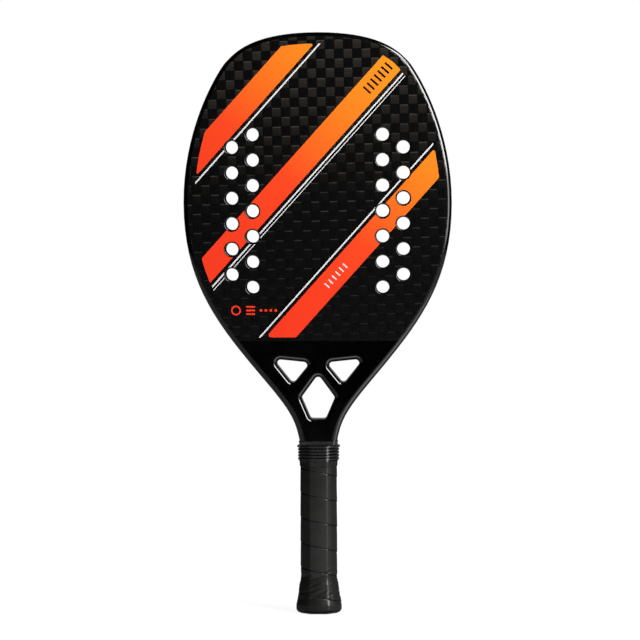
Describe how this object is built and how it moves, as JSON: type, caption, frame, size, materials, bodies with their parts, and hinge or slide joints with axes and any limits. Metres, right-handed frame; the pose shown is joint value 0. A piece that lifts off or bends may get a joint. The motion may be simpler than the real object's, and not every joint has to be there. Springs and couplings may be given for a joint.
{
  "type": "beach tennis racket",
  "caption": "Flat composite racket with a drilled oval head, moulded throat windows, a tape-wound octagonal grip and a ribbed rubber collar.",
  "frame": {"origin": "centre of the flat end of the butt", "axes": "+Z along the handle from the butt to the tip, front face towards -Y, +X to the right seen from the front"},
  "size_m": [0.2302, 0.0369, 0.5],
  "materials": {
    "carbon_weave": "spread-tow checker weave under satin clear resin",
    "gloss_lacquer": "deep gloss black lacquer",
    "eva_foam": "matte closed-cell foam",
    "pu_foam": "matte rigid foam",
    "moulded_plastic": "fine moulded texture",
    "grip_tape": "tacky synthetic leather with fine grain",
    "end_tape": "satin adhesive tape",
    "collar_rubber": "satin moulded rubber",
    "orange_print": "orange to red print under clear resin"
  },
  "bodies": {
    "root": {"frame_tube": "gloss_lacquer", "eva_core": "eva_foam", "front_face_skin": "carbon_weave", "back_face_skin": "carbon_weave", "throat_core": "pu_foam", "front_throat_skin": "gloss_lacquer", "back_throat_skin": "gloss_lacquer", "handle_web": "pu_foam", "front_handle_pallet": "pu_foam", "back_handle_pallet": "pu_foam", "butt_cap": "moulded_plastic", "grip_tape": "grip_tape", "grip_end_tape": "end_tape", "grip_collar": "collar_rubber", "front_upper_band": "orange_print", "back_upper_band": "orange_print", "front_middle_band": "orange_print", "back_middle_band": "orange_print", "front_lower_band": "orange_print", "back_lower_band": "orange_print"}
  },
  "joints": []
}
